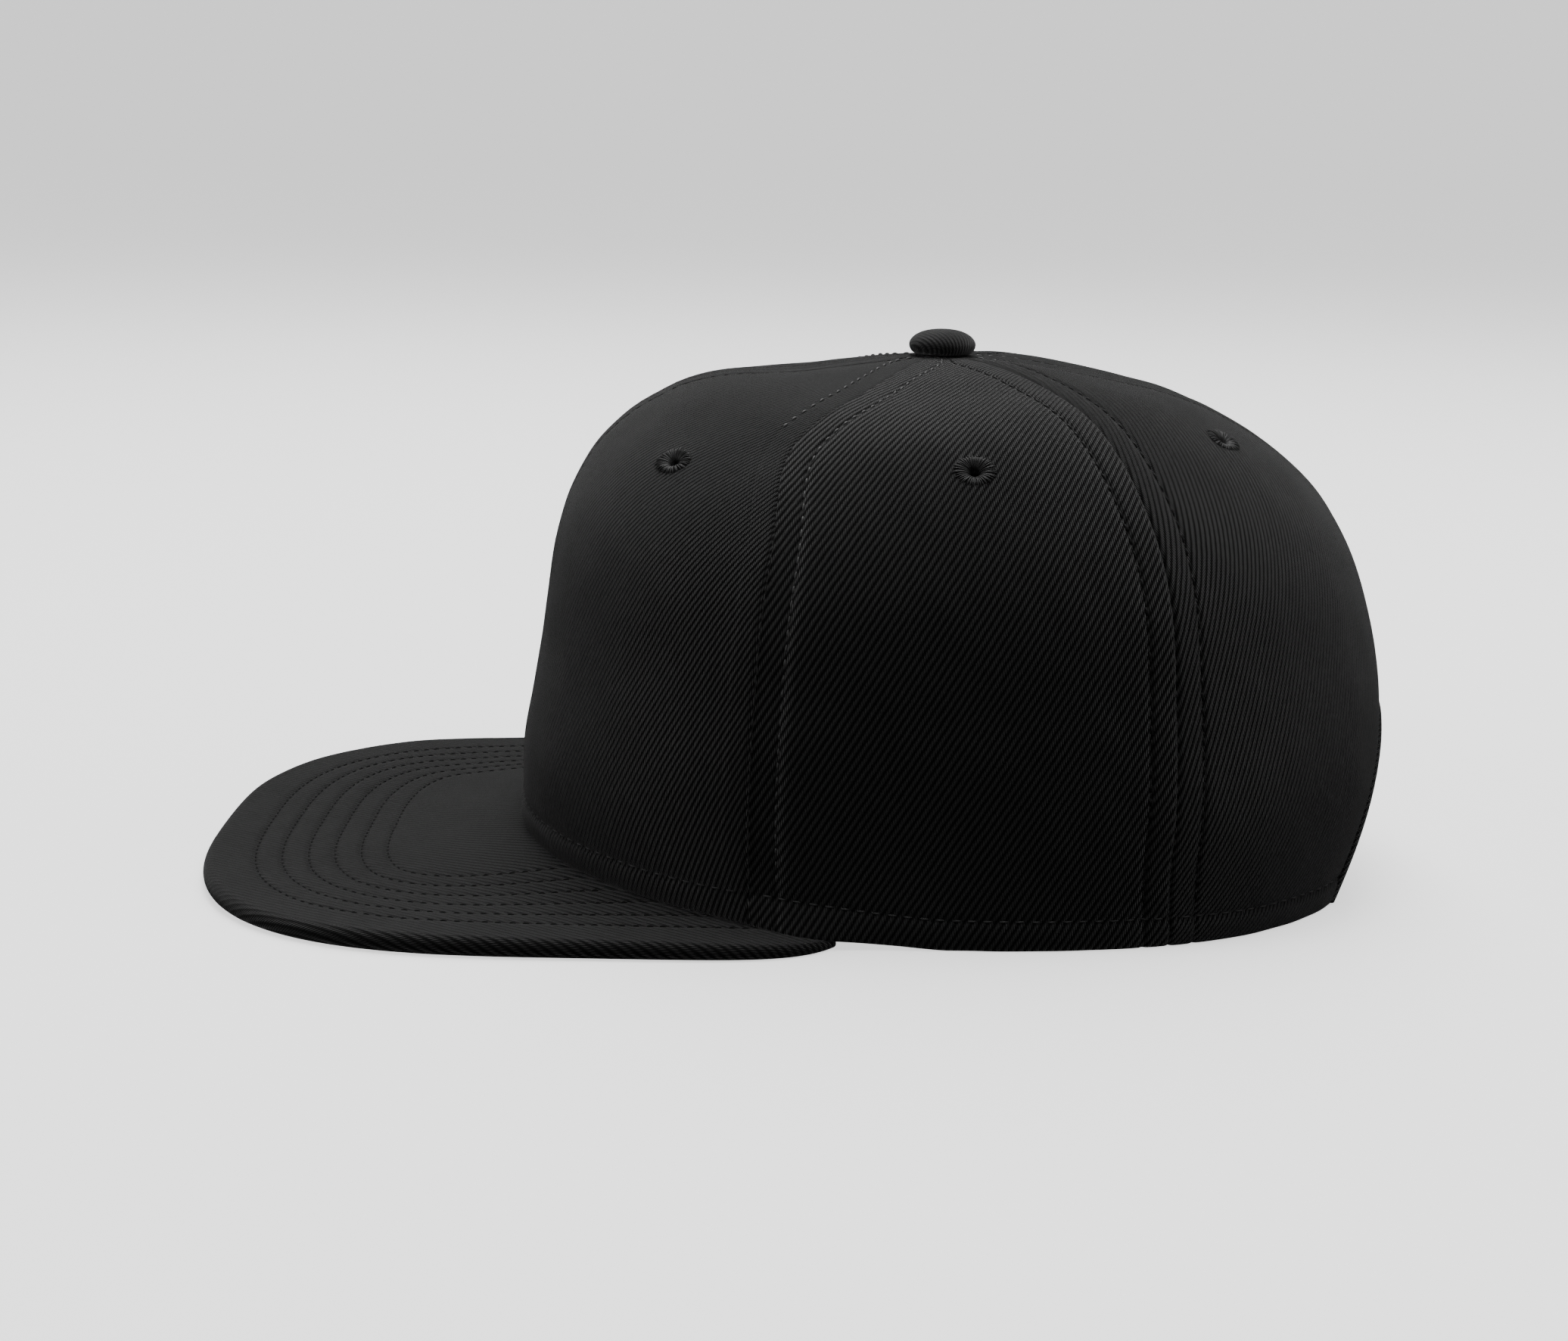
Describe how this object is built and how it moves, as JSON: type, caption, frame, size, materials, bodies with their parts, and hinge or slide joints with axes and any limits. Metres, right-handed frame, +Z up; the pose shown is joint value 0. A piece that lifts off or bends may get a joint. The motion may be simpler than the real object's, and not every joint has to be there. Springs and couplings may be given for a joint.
{
  "type": "snapback cap",
  "caption": "Structured snapback cap with a panelled cloth crown, flat peak, top button, sewn eyelets and a plastic strap across an arched rear opening.",
  "frame": {"origin": "the centre of the cap's bounding box, on the surface that it rests on", "axes": "+Z up to the button, -Y forward along the peak, +X to the wearer's left"},
  "size_m": [0.192, 0.29, 0.1325],
  "materials": {
    "crown_cloth": "black brushed twill",
    "peak_cloth": "black twill over a stiff board",
    "sweatband_cloth": "smooth black woven band",
    "thread": "black embroidery thread",
    "strap_plastic": "moulded black plastic"
  },
  "bodies": {
    "root": {"panel_front_left": "crown_cloth", "panel_front_right": "crown_cloth", "panel_side_left": "crown_cloth", "panel_side_right": "crown_cloth", "panel_rear_left": "crown_cloth", "panel_rear_right": "crown_cloth", "eyelet_front_left": "thread", "eyelet_front_right": "thread", "eyelet_side_left": "thread", "eyelet_side_right": "thread", "eyelet_rear_left": "thread", "eyelet_rear_right": "thread", "button": "crown_cloth", "peak": "peak_cloth", "sweatband": "sweatband_cloth", "snap_strap": "strap_plastic"}
  },
  "joints": []
}
